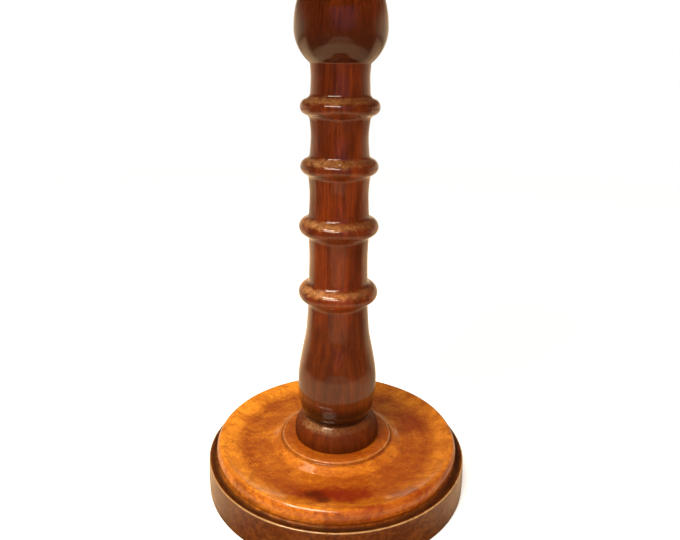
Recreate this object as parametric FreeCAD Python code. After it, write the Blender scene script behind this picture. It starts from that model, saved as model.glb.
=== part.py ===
import FreeCAD, Part
import math
import os

os.makedirs("parts", exist_ok=True)

# Pedestal table with a round top that tips up to vertical. Millimetres, +Z up.
# The origin is on the floor, under the middle of the column. -Y is the catch side.

# Base: a moulded disc seated on a slightly wider plinth
plinth_radius = 152.4          # at the sharp upper edge
plinth_height = 41.0
plinth_side_bulge = 0.5
plinth_flare = 1.2
plinth_shelf_hollow = 1.6
shelf_width = 9.4
foot_ring_width = 31.6
recess_depth = 5.0
recess_slope = 2.0
plinth_arris = 1.5
plinth_edge_land = 2.0
shelf_tuck = 1.0
disc_undercut = 4.0
disc_side_height = 8.5
disc_side_bulge = 0.3
disc_foot_round = 1.6
rim_crest_inset = 5.0
rim_crest_height = 17.8
rim_slope_width = 21.0
rim_shoulder_drop = 3.4
rim_slope_drop = 2.9
dish_height = 10.6
dish_edge_rise = 1.0
boss_radius = 65.0
boss_height = 20.0
boss_step = 2.2
boss_ogee = 14.5
boss_ogee_points = ((0.24, 0.90), (0.50, 0.52), (0.76, 0.16))   # shares of its width and drop
boss_edge_drop = 1.0
boss_edge_width = 1.8

# Column: one turning, listed from the floor up
tenon_radius = 22.0
foot_radius = 49.8
foot_height = 27.0
foot_side = 9.0
foot_draft = 0.6
foot_round_points = ((1.8, 10.8), (5.6, 4.8))   # in from the foot radius, down from the waist
waist_radius = 38.5
vase_height = 154.0
vase_points = ((0.10, 43.0), (0.24, 45.3), (0.42, 44.8), (0.60, 40.4), (0.77, 36.0))
ring_spacings = (75.2, 64.6, 60.7)
ring_radii = (44.2, 43.3, 41.2, 41.3)
neck_radii = (33.7, 32.8, 32.5, 31.2, 30.8)
neck_waists = (32.2, 31.5, 30.0, 30.1)
neck_waist_share = 0.55
bead_radii = (9.8, 9.1, 8.2, 8.2)
cove_radius = 6.0
bulb_base_rise = 42.2
bulb_base_radius = 30.9
bulb_radius = 46.9
bulb_lower_rise = 43.0
bulb_height = 86.3
bulb_top_radius = 27.0
collar_cove = 9.0
collar_thickness = 6.0
collar_radius = 43.0
head_tenon_radius = 15.0
tenon_clearance = 0.05
wedge_length = 18.0
foot_wedge_depth = 26.0
wedge_thick_end = 4.0
wedge_thin_end = 1.2

# Block on the column's head, and the pins that the top turns on
block_width = 130.0
block_front = 63.0
pivot_setback = 50.0
pivot_drop = 14.0
block_chamfer = 5.0
block_round_start = 3.0
stop_gap = 0.3
pin_radius = 5.0
pin_seat = 30.0
pin_reach = 20.0
pin_fit = 0.06
pin_chamfer = 0.6
end_play = 0.5

# Top and the two bearers screwed under it
top_radius = 225.0
top_thickness = 20.0
top_ovolo = 9.0
top_fillet = 1.6
top_cove = 7.0
top_edge_inset = 1.5
top_edge_land = 2.0
bearer_width = 28.0
bearer_height = 26.0
bearer_half_length = 175.0
bearer_nose_height = 9.0
bearer_nose_length = 34.0
bearer_hollow_share = 0.62
bearer_hollow_rise = 5.6
cheek_gap = 0.6

# Spring catch under the front of the top, and its keeper on the block
catch_gap = 3.0
catch_plate_width = 46.0
catch_plate_length = 46.0
catch_plate_thickness = 1.6
catch_plate_corner = 3.0
catch_screw_inset = 5.0
bolt_width = 12.0
bolt_height = 5.0
bolt_length = 27.0
bolt_nose = 3.0
bolt_gap = 1.5
bolt_travel = 8.0
slide_clearance = 0.3
case_wall = 1.6
case_flange = 6.0
case_flange_thickness = 1.2
case_corner = 1.2
spring_space = 11.0
spring_radius = 2.0
spring_wire = 0.35
spring_turns = 7
spring_end_gap = 0.1
knob_radius = 5.0
knob_height = 8.0
knob_stem_radius = 2.0
knob_inset = 13.0
knob_gap = 0.6
knob_base_height = 1.0
keeper_width = 36.0
keeper_thickness = 1.6
keeper_sill = 4.0
mortise_depth = 10.0
rivet_radius = 1.1
rivet_head_radius = 2.0
rivet_head_height = 0.8
rivet_inset = 6.0

# Screws
base_screw_count = 6
base_screw_turn = 30.0          # degrees from +X to the first
base_screw_length = 40.0
base_screw_radius = 2.4
base_screw_head = 4.8
bearer_screw_sites = (-145.0, -10.0, 145.0)
bearer_screw_length = 28.0
bearer_screw_radius = 2.0
bearer_screw_head = 4.0
bearer_counterbore = 8.0
small_screw_length = 12.0
small_screw_radius = 1.3
small_screw_head = 2.6
hole_clearance = 0.05
slot_width_share = 0.28
over_cut = 1.0                  # how far a cutting shape runs past the face it cuts

# Heights that follow from the sizes above
plinth_foot_radius = plinth_radius + plinth_flare
recess_radius = plinth_foot_radius - foot_ring_width
disc_radius = plinth_radius - shelf_width
dish_outer = disc_radius - rim_crest_inset - rim_slope_width
dish_inner = boss_radius + boss_ogee
base_screw_circle = (dish_inner + dish_outer) / 2.0
shoulder_z = plinth_height + boss_height
waist_z = shoulder_z + foot_height
ring_centres = [waist_z + vase_height]
for spacing in ring_spacings:
    ring_centres.append(ring_centres[-1] + spacing)
bulb_base_z = ring_centres[-1] + bulb_base_rise
bulb_base_drop = bulb_lower_rise * math.sqrt(1.0 - (bulb_base_radius / bulb_radius) ** 2)
bulb_middle_z = bulb_base_z + bulb_base_drop
bulb_top_z = bulb_base_z + bulb_height
bulb_top_share = math.sqrt(1.0 - (bulb_top_radius / bulb_radius) ** 2)
bulb_upper_rise = (bulb_top_z - bulb_middle_z) / bulb_top_share
block_bottom_z = bulb_top_z + collar_cove + collar_thickness
block_height = 2.0 * pivot_drop
underside_z = block_bottom_z + block_height
pivot_z = underside_z - pivot_drop
table_height = underside_z + top_thickness
bearer_inner = block_width / 2.0 + cheek_gap


def point(radius, height):
    return FreeCAD.Vector(radius, 0, height)


def between(low, high, share):
    return low + (high - low) * share


def line(start, end):
    return Part.LineSegment(start, end).toShape()


def arc(start, middle, end):
    return Part.Arc(start, middle, end).toShape()


def quarter(start, end, centre):
    # Arc from start to end about centre, by way of the direction halfway between them
    reach = (start - centre).Length
    halfway = (start - centre) + (end - centre)
    halfway.normalize()
    return arc(start, centre + halfway * reach, end)


def smooth(points, first_direction, last_direction):
    curve = Part.BSplineCurve()
    curve.interpolate(Points=points, InitialTangent=first_direction, FinalTangent=last_direction)
    return curve.toShape()


def revolve(edges):
    face = Part.Face(Part.Wire(edges))
    solid = face.revolve(FreeCAD.Vector(0, 0, 0), FreeCAD.Vector(0, 0, 1), 360)
    return solid if solid.Volume > 0 else solid.reversed()


def cylinder(radius, start, end):
    run = end - start
    return Part.makeCylinder(radius, run.Length, start, run)


def box(low_x, low_y, low_z, high_x, high_y, high_z):
    corner = FreeCAD.Vector(low_x, low_y, low_z)
    return Part.makeBox(high_x - low_x, high_y - low_y, high_z - low_z, corner)


def prism_x(outline, low_x, high_x):
    # Outline is a list of edges in the YZ plane
    face = Part.Face(Part.Wire(outline))
    face.translate(FreeCAD.Vector(low_x, 0, 0))
    return face.extrude(FreeCAD.Vector(high_x - low_x, 0, 0))


def loop(points):
    return [line(start, end) for start, end in zip(points, points[1:] + points[:1])]


def save(shape, node):
    shape.exportStep("parts/" + node + ".step")


def turn_to(shape, place, direction):
    # Turn a shape built along +Z so that it points along direction, with its origin at place
    shape.Placement = FreeCAD.Placement(place, FreeCAD.Rotation(FreeCAD.Vector(0, 0, 1), direction))
    return shape


def screw(head, shank, length):
    # Countersunk slotted screw along +Z, its head's flat face at the origin
    depth = head - shank
    tip = 2.0 * shank
    outline = [
        line(point(0, 0), point(head, 0)),
        line(point(head, 0), point(shank, depth)),
        line(point(shank, depth), point(shank, length - tip)),
        line(point(shank, length - tip), point(shank * 0.3, length)),
        line(point(shank * 0.3, length), point(0, length)),
        line(point(0, length), point(0, 0)),
    ]
    slot = head * slot_width_share
    groove = box(-head, -slot / 2.0, -over_cut, head, slot / 2.0, depth * 0.5)
    return revolve(outline).cut(groove)


def screw_hole(head, shank, length, mouth):
    # Space for the same screw, with a straight mouth in front of its head
    wide = head + hole_clearance
    narrow = shank + hole_clearance
    outline = [
        line(point(0, -mouth), point(wide, -mouth)),
        line(point(wide, -mouth), point(wide, 0)),
        line(point(wide, 0), point(narrow, wide - narrow)),
        line(point(narrow, wide - narrow), point(narrow, length + over_cut)),
        line(point(narrow, length + over_cut), point(0, length + over_cut)),
        line(point(0, length + over_cut), point(0, -mouth)),
    ]
    return revolve(outline)


def cut_screws(shape, places, direction, sizes, mouth):
    for place in places:
        shape = shape.cut(turn_to(screw_hole(*sizes, mouth), place, direction))
    return shape


def screws(places, direction, sizes):
    return Part.makeCompound([turn_to(screw(*sizes), place, direction) for place in places])


base_screw = (base_screw_head, base_screw_radius, base_screw_length)
bearer_screw = (bearer_screw_head, bearer_screw_radius, bearer_screw_length)
small_screw = (small_screw_head, small_screw_radius, small_screw_length)
up = FreeCAD.Vector(0, 0, 1)
inward = FreeCAD.Vector(0, 1, 0)


def base_screw_places():
    places = []
    for count in range(base_screw_count):
        turn = math.radians(360.0 * count / base_screw_count + base_screw_turn)
        across = base_screw_circle * math.cos(turn)
        along = base_screw_circle * math.sin(turn)
        places.append(FreeCAD.Vector(across, along, recess_depth))
    return places


def bearer_screw_places(side):
    middle = side * (bearer_inner + bearer_width / 2.0)
    height = underside_z - bearer_height + bearer_counterbore
    return [FreeCAD.Vector(middle, along, height) for along in bearer_screw_sites]


# Column wedges: a kerf sawn in each tenon's end, filled by a wedge cut to the tenon's round
def wedge(radius, depth, end_z, inward_sign):
    thick = wedge_thick_end / 2.0
    thin = wedge_thin_end / 2.0
    far_z = end_z + inward_sign * depth
    outline = loop([
        FreeCAD.Vector(0, -thick, end_z),
        FreeCAD.Vector(0, thick, end_z),
        FreeCAD.Vector(0, thin, far_z),
        FreeCAD.Vector(0, -thin, far_z),
    ])
    blade = prism_x(outline, -radius * 2.0, radius * 2.0)
    return blade, blade.common(cylinder(radius, point(0, end_z), point(0, far_z)))


def plinth():
    side_top = point(plinth_radius, plinth_height)
    side_middle_radius = (plinth_radius + plinth_foot_radius) / 2.0 + plinth_side_bulge / 2.0
    side_bottom = point(plinth_foot_radius, plinth_arris)
    shelf_out = point(plinth_radius - plinth_edge_land, plinth_height)
    shelf_in = point(disc_radius - shelf_tuck, plinth_height)
    shelf_middle = point((shelf_out.x + shelf_in.x) / 2.0, plinth_height - plinth_shelf_hollow)
    bore = tenon_radius + tenon_clearance
    outline = [
        line(point(bore, plinth_height), shelf_in),
        arc(shelf_in, shelf_middle, shelf_out),
        line(shelf_out, side_top),
        arc(side_top, point(side_middle_radius, plinth_height * 0.5), side_bottom),
        line(side_bottom, point(plinth_foot_radius - plinth_arris, 0)),
        line(point(plinth_foot_radius - plinth_arris, 0), point(recess_radius, 0)),
        line(point(recess_radius, 0), point(recess_radius - recess_slope, recess_depth)),
        line(point(recess_radius - recess_slope, recess_depth), point(bore, recess_depth)),
        line(point(bore, recess_depth), point(bore, plinth_height)),
    ]
    return cut_screws(revolve(outline), base_screw_places(), up, base_screw, over_cut)


def disc():
    low = plinth_height
    foot_in = point(disc_radius - disc_undercut, low)
    side_low = point(disc_radius, low + disc_undercut * 0.7)
    side_high = point(disc_radius + disc_side_bulge, low + disc_side_height)
    crest = point(disc_radius - rim_crest_inset, low + rim_crest_height)
    shoulder = point(disc_radius - rim_crest_inset * 0.22, crest.z - rim_shoulder_drop)
    slope_foot = point(dish_outer, low + dish_height + dish_edge_rise)
    slope_middle = point(crest.x - rim_slope_width * 0.4, crest.z - rim_slope_drop)
    dish_low = point(base_screw_circle, low + dish_height)
    ogee_low = point(dish_inner, low + dish_height + dish_edge_rise * 0.4)
    ogee_high = point(boss_radius, low + boss_height - boss_edge_drop - boss_step)
    ogee = [ogee_high]
    for across, drop in boss_ogee_points:
        radius = between(ogee_high.x, ogee_low.x, across)
        ogee.append(point(radius, between(ogee_low.z, ogee_high.z, drop)))
    ogee.append(ogee_low)
    step_top = point(boss_radius, low + boss_height - boss_edge_drop)
    boss_edge = point(boss_radius - boss_edge_width, low + boss_height)
    slope_end = FreeCAD.Vector(-1, 0, -0.12)
    dish_end = FreeCAD.Vector(-1, 0, 0.08)
    bore = tenon_radius + tenon_clearance
    outline = [
        line(point(bore, low), foot_in),
        arc(foot_in, point(disc_radius - disc_foot_round, low + 0.9), side_low),
        line(side_low, side_high),
        smooth([side_high, shoulder, crest], FreeCAD.Vector(0, 0, 1), FreeCAD.Vector(-1, 0, 0.05)),
        smooth([crest, slope_middle, slope_foot], FreeCAD.Vector(-1, 0, -0.05), slope_end),
        smooth([slope_foot, dish_low, ogee_low], slope_end, dish_end),
        smooth(ogee[::-1], dish_end, FreeCAD.Vector(-1, 0, 0.15)),
        line(ogee_high, step_top),
        arc(step_top, point(boss_radius - 0.5, low + boss_height - 0.3), boss_edge),
        line(boss_edge, point(bore, low + boss_height)),
        line(point(bore, low + boss_height), point(bore, low)),
    ]
    return cut_screws(revolve(outline), base_screw_places(), up, base_screw, over_cut)


def ring(centre_z, crest, bead_radius, neck_below, neck_above):
    # Half-round bead with a cove under and over it; returns its edges and its two end points
    middle = point(crest - bead_radius, centre_z)
    edges = []
    ends = []
    touches = []
    for neck, sign in ((neck_below, -1.0), (neck_above, 1.0)):
        across = neck + cove_radius - middle.x
        rise = math.sqrt((bead_radius + cove_radius) ** 2 - across ** 2)
        cove_middle = point(neck + cove_radius, centre_z + sign * rise)
        touch = middle + (cove_middle - middle) * (bead_radius / (bead_radius + cove_radius))
        end = point(neck, cove_middle.z)
        edges.append(quarter(end, touch, cove_middle))
        ends.append(end)
        touches.append(touch)
    bead = arc(touches[0], point(crest, centre_z), touches[1])
    return [edges[0], bead, edges[1]], ends[0], ends[1]


def half_bulb(first_angle, last_angle, rise):
    # Part of an ellipse about the bulb's middle, as a smooth curve through points of its formula
    points = []
    steps = 8
    for count in range(steps + 1):
        angle = first_angle + (last_angle - first_angle) * count / steps
        across = bulb_radius * math.cos(angle)
        points.append(point(across, bulb_middle_z + rise * math.sin(angle)))
    slopes = []
    for angle in (first_angle, last_angle):
        slopes.append(FreeCAD.Vector(-bulb_radius * math.sin(angle), 0, rise * math.cos(angle)))
    return smooth(points, slopes[0], slopes[1])


def column_profile():
    edges = []
    waist = point(waist_radius, waist_z)
    side_top = point(foot_radius, shoulder_z + foot_side)
    side_foot = point(foot_radius - foot_draft, shoulder_z)
    round_points = [point(foot_radius - inset, waist_z - drop) for inset, drop in foot_round_points]
    edges.append(line(side_foot, side_top))
    rounding = [side_top] + round_points + [waist]
    edges.append(smooth(rounding, FreeCAD.Vector(0, 0, 1), FreeCAD.Vector(-1, 0, 0.5)))
    parts = []
    for count, centre_z in enumerate(ring_centres):
        necks = neck_radii[count:count + 2]
        parts.append(ring(centre_z, ring_radii[count], bead_radii[count], *necks))
    vase_top = parts[0][1]
    vase = [waist]
    for share, radius in vase_points:
        vase.append(point(radius, waist_z + share * (vase_top.z - waist_z)))
    vase.append(vase_top)
    edges.append(smooth(vase, FreeCAD.Vector(0.75, 0, 1), FreeCAD.Vector(0, 0, 1)))
    for count, (ring_edges, low, high) in enumerate(parts):
        edges.extend(ring_edges)
        above = point(bulb_base_radius, bulb_base_z)
        if count + 1 < len(parts):
            above = parts[count + 1][1]
        waist_point = point(neck_waists[count], between(high.z, above.z, neck_waist_share))
        edges.append(arc(high, waist_point, above))
    lowest = -math.acos(bulb_base_radius / bulb_radius)
    highest = math.acos(bulb_top_radius / bulb_radius)
    edges.append(half_bulb(lowest, 0.0, bulb_lower_rise))
    edges.append(half_bulb(0.0, highest, bulb_upper_rise))
    return edges


def column():
    edges = column_profile()
    neck_top = point(bulb_top_radius, bulb_top_z)
    collar_low = point(collar_radius, block_bottom_z - collar_thickness)
    cove_middle = point(bulb_top_radius + collar_cove * 0.3, collar_low.z - collar_cove * 0.3)
    collar_in = point(bulb_top_radius + collar_cove, collar_low.z)
    edges.append(arc(neck_top, cove_middle, collar_in))
    edges.append(line(collar_in, collar_low))
    edges.append(line(collar_low, point(collar_radius, block_bottom_z)))
    edges.append(line(point(collar_radius, block_bottom_z), point(head_tenon_radius, block_bottom_z)))
    edges.append(line(point(head_tenon_radius, block_bottom_z), point(head_tenon_radius, underside_z)))
    edges.append(line(point(head_tenon_radius, underside_z), point(0, underside_z)))
    edges.append(line(point(0, underside_z), point(0, recess_depth)))
    edges.append(line(point(0, recess_depth), point(tenon_radius, recess_depth)))
    edges.append(line(point(tenon_radius, recess_depth), point(tenon_radius, shoulder_z)))
    edges.append(line(point(tenon_radius, shoulder_z), point(foot_radius - foot_draft, shoulder_z)))
    turning = revolve(edges)
    turning = turning.cut(wedge(tenon_radius, foot_wedge_depth, recess_depth, 1.0)[0])
    return turning.cut(wedge(head_tenon_radius, wedge_length, underside_z, -1.0)[0])


def keeper_box(clear, low_y, high_y):
    # Space round the bolt's path, larger than the bolt by clear on each side
    half = bolt_width / 2.0 + clear
    bolt_top = underside_z - catch_plate_thickness - slide_clearance
    bottom = bolt_top - bolt_height - clear
    return box(-half, low_y, bottom, half, high_y, bolt_top + clear)


def keeper_screw_places():
    across = (bolt_width / 2.0 + keeper_width / 2.0) / 2.0 + slide_clearance
    height = (keeper_bottom() + keeper_top()) / 2.0
    return [FreeCAD.Vector(side * across, -block_front, height) for side in (-1, 1)]


def keeper_top():
    return underside_z


def keeper_bottom():
    return underside_z - catch_plate_thickness - slide_clearance - bolt_height - keeper_sill


def block():
    back_reach = pivot_drop - stop_gap
    pivot = FreeCAD.Vector(0, pivot_setback, pivot_z)
    arc_start = pivot + FreeCAD.Vector(0, 0.16 * back_reach, 0.987 * back_reach)
    arc_middle = pivot + FreeCAD.Vector(0, 0.707 * back_reach, 0.707 * back_reach)
    arc_end = pivot + FreeCAD.Vector(0, back_reach, 0)
    back = pivot_setback + back_reach
    corners = [
        FreeCAD.Vector(0, back, block_bottom_z + block_chamfer),
        FreeCAD.Vector(0, back - block_chamfer, block_bottom_z),
        FreeCAD.Vector(0, -block_front + block_chamfer, block_bottom_z),
        FreeCAD.Vector(0, -block_front, block_bottom_z + block_chamfer),
        FreeCAD.Vector(0, -block_front, underside_z),
        FreeCAD.Vector(0, pivot_setback - block_round_start, underside_z),
    ]
    outline = [line(arc_end, corners[0])]
    outline += [line(start, end) for start, end in zip(corners, corners[1:])]
    outline.append(line(corners[-1], arc_start))
    outline.append(arc(arc_start, arc_middle, arc_end))
    solid = prism_x(outline, -block_width / 2.0, block_width / 2.0)
    bore = head_tenon_radius + tenon_clearance
    solid = solid.cut(cylinder(bore, point(0, block_bottom_z), point(0, underside_z)))
    for side in (-1, 1):
        face = FreeCAD.Vector(side * block_width / 2.0, pivot_setback, pivot_z)
        seat = face - FreeCAD.Vector(side * (pin_seat + end_play), 0, 0)
        solid = solid.cut(cylinder(pin_radius + tenon_clearance, seat, face))
    solid = solid.cut(keeper_shape())
    solid = solid.cut(keeper_box(slide_clearance, -block_front, -block_front + mortise_depth))
    return cut_screws(solid, keeper_screw_places(), inward, small_screw, over_cut)


def keeper_shape():
    half = keeper_width / 2.0
    back = -block_front + keeper_thickness
    return box(-half, -block_front, keeper_bottom(), half, back, keeper_top())


def keeper():
    plate = keeper_shape()
    back = -block_front + keeper_thickness
    plate = plate.cut(keeper_box(slide_clearance, -block_front - over_cut, back + over_cut))
    return cut_screws(plate, keeper_screw_places(), inward, small_screw, over_cut)


def pin(side):
    face = side * block_width / 2.0
    inner = FreeCAD.Vector(face - side * pin_seat, pivot_setback, pivot_z)
    outer = FreeCAD.Vector(face + side * pin_reach, pivot_setback, pivot_z)
    shaft = cylinder(pin_radius, inner, outer)
    flat = [edge for edge in shaft.Edges if edge.Closed and abs(edge.BoundBox.XLength) < 0.01]
    return shaft.makeChamfer(pin_chamfer, flat)


def bearer(side):
    bottom = underside_z - bearer_height
    nose = underside_z - bearer_nose_height
    reach = bearer_half_length
    inner = reach - bearer_nose_length
    hollow = inner + bearer_nose_length * bearer_hollow_share
    outline = [
        line(FreeCAD.Vector(0, -reach, underside_z), FreeCAD.Vector(0, -reach, nose)),
        arc(FreeCAD.Vector(0, -reach, nose), FreeCAD.Vector(0, -hollow, bottom + bearer_hollow_rise),
            FreeCAD.Vector(0, -inner, bottom)),
        line(FreeCAD.Vector(0, -inner, bottom), FreeCAD.Vector(0, inner, bottom)),
        arc(FreeCAD.Vector(0, inner, bottom), FreeCAD.Vector(0, hollow, bottom + bearer_hollow_rise),
            FreeCAD.Vector(0, reach, nose)),
        line(FreeCAD.Vector(0, reach, nose), FreeCAD.Vector(0, reach, underside_z)),
        line(FreeCAD.Vector(0, reach, underside_z), FreeCAD.Vector(0, -reach, underside_z)),
    ]
    inner_face = side * bearer_inner
    outer_face = side * (bearer_inner + bearer_width)
    solid = prism_x(outline, min(inner_face, outer_face), max(inner_face, outer_face))
    hole_start = FreeCAD.Vector(inner_face, pivot_setback, pivot_z)
    hole_end = FreeCAD.Vector(side * (block_width / 2.0 + pin_reach + end_play), pivot_setback, pivot_z)
    solid = solid.cut(cylinder(pin_radius + pin_fit, hole_start, hole_end))
    return cut_screws(solid, bearer_screw_places(side), up, bearer_screw, bearer_counterbore + over_cut)


def catch_front():
    return -block_front - catch_gap


def catch_screw_places():
    half = catch_plate_width / 2.0 - catch_screw_inset
    places = []
    for along in (catch_screw_inset, catch_plate_length - catch_screw_inset):
        for side in (-1, 1):
            height = underside_z - catch_plate_thickness
            places.append(FreeCAD.Vector(side * half, catch_front() - along, height))
    return places


def table_top():
    low = underside_z
    high = underside_z + top_thickness
    ovolo_low = high - top_fillet - top_ovolo
    cove_high = ovolo_low - top_edge_land
    rim = top_radius
    cove_in = point(rim - top_edge_inset - top_cove, low)
    cove_out = point(rim - top_edge_inset, low + top_cove)
    cove_middle = point(rim - top_edge_inset - top_cove * 0.3, low + top_cove * 0.3)
    ovolo_top = point(rim - top_ovolo, high - top_fillet)
    ovolo_middle = point(rim - top_ovolo * 0.29, high - top_fillet - top_ovolo * 0.29)
    outline = [
        line(point(0, low), cove_in),
        arc(cove_in, cove_middle, cove_out),
        line(cove_out, point(rim - top_edge_inset, cove_high)),
        line(point(rim - top_edge_inset, cove_high), point(rim, ovolo_low)),
        arc(point(rim, ovolo_low), ovolo_middle, ovolo_top),
        line(ovolo_top, point(rim - top_ovolo, high)),
        line(point(rim - top_ovolo, high), point(0, high)),
        line(point(0, high), point(0, low)),
    ]
    solid = revolve(outline)
    for side in (-1, 1):
        solid = cut_screws(solid, bearer_screw_places(side), up, bearer_screw, over_cut)
    return cut_screws(solid, catch_screw_places(), up, small_screw, over_cut)


def case_sizes():
    # Inner half width, top, bottom, front and rear of the space the bolt slides in
    half = bolt_width / 2.0 + slide_clearance
    ceiling = underside_z - catch_plate_thickness
    floor = ceiling - bolt_height - 2.0 * slide_clearance
    front = catch_front()
    rear = -block_front - bolt_gap - bolt_length - spring_space
    return half, ceiling, floor, front, rear


def rivet_places():
    half, ceiling, floor, front, rear = case_sizes()
    across = half + case_wall + case_flange / 2.0
    places = []
    for along in (front - rivet_inset, rear + rivet_inset):
        for side in (-1, 1):
            places.append(FreeCAD.Vector(side * across, along, ceiling))
    return places


def catch_plate():
    half = catch_plate_width / 2.0
    front = catch_front()
    rear = front - catch_plate_length
    solid = box(-half, rear, underside_z - catch_plate_thickness, half, front, underside_z)
    upright = [edge for edge in solid.Edges if abs(edge.BoundBox.ZLength) > 1.0]
    solid = solid.makeFillet(catch_plate_corner, upright)
    for place in rivet_places():
        top = FreeCAD.Vector(place.x, place.y, underside_z)
        solid = solid.cut(cylinder(rivet_radius + hole_clearance, place, top))
    return cut_screws(solid, catch_screw_places(), up, small_screw, over_cut)


def knob_y():
    return -block_front - bolt_gap - knob_inset


def catch_case():
    half, ceiling, floor, front, rear = case_sizes()
    outer = half + case_wall
    shell = box(-outer, rear - case_wall, floor - case_wall, outer, front, ceiling)
    low_edges = [edge for edge in shell.Edges if edge.BoundBox.ZMax < ceiling - 1.0]
    long_edges = [edge for edge in low_edges if edge.BoundBox.YLength > 1.0]
    shell = shell.makeFillet(case_corner, long_edges)
    wide = outer + case_flange
    flange = box(-wide, rear - case_wall, ceiling - case_flange_thickness, wide, front, ceiling)
    shell = shell.fuse(flange)
    shell = shell.cut(box(-half, rear, floor, half, front + over_cut, ceiling + over_cut))
    run = knob_stem_radius + slide_clearance
    slot_low = floor - case_wall - over_cut
    slot_high = floor + over_cut
    slot = box(-run, knob_y(), slot_low, run, knob_y() + bolt_travel, slot_high)
    for along in (knob_y(), knob_y() + bolt_travel):
        low = FreeCAD.Vector(0, along, slot_low)
        slot = slot.fuse(cylinder(run, low, FreeCAD.Vector(0, along, slot_high)))
    shell = shell.cut(slot)
    for place in rivet_places():
        low = FreeCAD.Vector(place.x, place.y, ceiling - case_wall)
        shell = shell.cut(cylinder(rivet_radius + hole_clearance, low, place))
    return shell.removeSplitter()


def catch_rivets():
    rivets = []
    for place in rivet_places():
        under = place - FreeCAD.Vector(0, 0, case_flange_thickness)
        shank = cylinder(rivet_radius, under, FreeCAD.Vector(place.x, place.y, underside_z))
        tip = under - FreeCAD.Vector(0, 0, rivet_head_height)
        head = Part.makeCone(rivet_head_radius * 0.55, rivet_head_radius, rivet_head_height, tip)
        rivets.append(shank.fuse(head).removeSplitter())
    return Part.makeCompound(rivets)


def catch_bolt():
    half = bolt_width / 2.0
    top = underside_z - catch_plate_thickness - slide_clearance
    bottom = top - bolt_height
    tip = -block_front - bolt_gap
    rear = tip - bolt_length
    outline = loop([
        FreeCAD.Vector(0, rear, bottom),
        FreeCAD.Vector(0, rear, top),
        FreeCAD.Vector(0, tip - bolt_nose, top),
        FreeCAD.Vector(0, tip, top - bolt_height * 0.55),
        FreeCAD.Vector(0, tip, bottom),
    ])
    solid = prism_x(outline, -half, half)
    low = FreeCAD.Vector(0, knob_y(), bottom - over_cut)
    return solid.cut(cylinder(knob_stem_radius + hole_clearance, low, FreeCAD.Vector(0, knob_y(), top)))


def catch_knob():
    bolt_top = underside_z - catch_plate_thickness - slide_clearance
    stem_top = bolt_top - knob_gap
    case_bottom = case_sizes()[2] - case_wall
    low = case_bottom - knob_gap
    foot = low - knob_height
    waist = knob_radius * 0.5
    outline = [
        line(point(0, foot), point(knob_radius * 0.55, foot)),
        arc(point(knob_radius * 0.55, foot), point(knob_radius, foot + knob_height * 0.27),
            point(knob_radius * 0.62, foot + knob_height * 0.52)),
        arc(point(knob_radius * 0.62, foot + knob_height * 0.52), point(waist, foot + knob_height * 0.7),
            point(knob_radius * 0.72, low - knob_base_height)),
        line(point(knob_radius * 0.72, low - knob_base_height), point(knob_radius * 0.72, low)),
        line(point(knob_radius * 0.72, low), point(knob_stem_radius, low)),
        line(point(knob_stem_radius, low), point(knob_stem_radius, stem_top)),
        line(point(knob_stem_radius, stem_top), point(0, stem_top)),
        line(point(0, stem_top), point(0, foot)),
    ]
    solid = revolve(outline)
    solid.translate(FreeCAD.Vector(0, knob_y(), 0))
    return solid


def catch_spring():
    half, ceiling, floor, front, rear = case_sizes()
    bolt_rear = -block_front - bolt_gap - bolt_length
    length = bolt_rear - rear - 2.0 * (spring_wire + spring_end_gap)
    pitch = length / spring_turns
    helix = Part.makeHelix(pitch, length, spring_radius)
    start = FreeCAD.Vector(spring_radius, 0, 0)
    section = Part.Wire(Part.makeCircle(spring_wire, start, FreeCAD.Vector(0, 1, 0)))
    coil = Part.Wire(helix).makePipeShell([section], True, True)
    place = FreeCAD.Vector(0, rear + spring_wire + spring_end_gap, (ceiling + floor) / 2.0)
    return turn_to(coil, place, inward)


for node, shape in (
    ("base_plinth", plinth()),
    ("base_disc", disc()),
    ("base_screws", screws(base_screw_places(), up, base_screw)),
    ("column", column()),
    ("column_foot_wedge", wedge(tenon_radius, foot_wedge_depth, recess_depth, 1.0)[1]),
    ("column_head_wedge", wedge(head_tenon_radius, wedge_length, underside_z, -1.0)[1]),
    ("top_block", block()),
    ("pivot_pin_left", pin(-1)),
    ("pivot_pin_right", pin(1)),
    ("bearer_left", bearer(-1)),
    ("bearer_right", bearer(1)),
    ("bearer_screws_left", screws(bearer_screw_places(-1), up, bearer_screw)),
    ("bearer_screws_right", screws(bearer_screw_places(1), up, bearer_screw)),
    ("table_top", table_top()),
    ("catch_plate", catch_plate()),
    ("catch_plate_screws", screws(catch_screw_places(), up, small_screw)),
    ("catch_case", catch_case()),
    ("catch_rivets", catch_rivets()),
    ("catch_bolt", catch_bolt()),
    ("catch_knob", catch_knob()),
    ("catch_spring", catch_spring()),
    ("keeper_plate", keeper()),
    ("keeper_screws", screws(keeper_screw_places(), inward, small_screw)),
):
    save(shape, node)
    print(node, shape.ShapeType, round(shape.Volume, 1), shape.isValid())
print("table height", round(table_height, 1))
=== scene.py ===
import bpy
import math
from mathutils import Matrix, Vector


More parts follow.
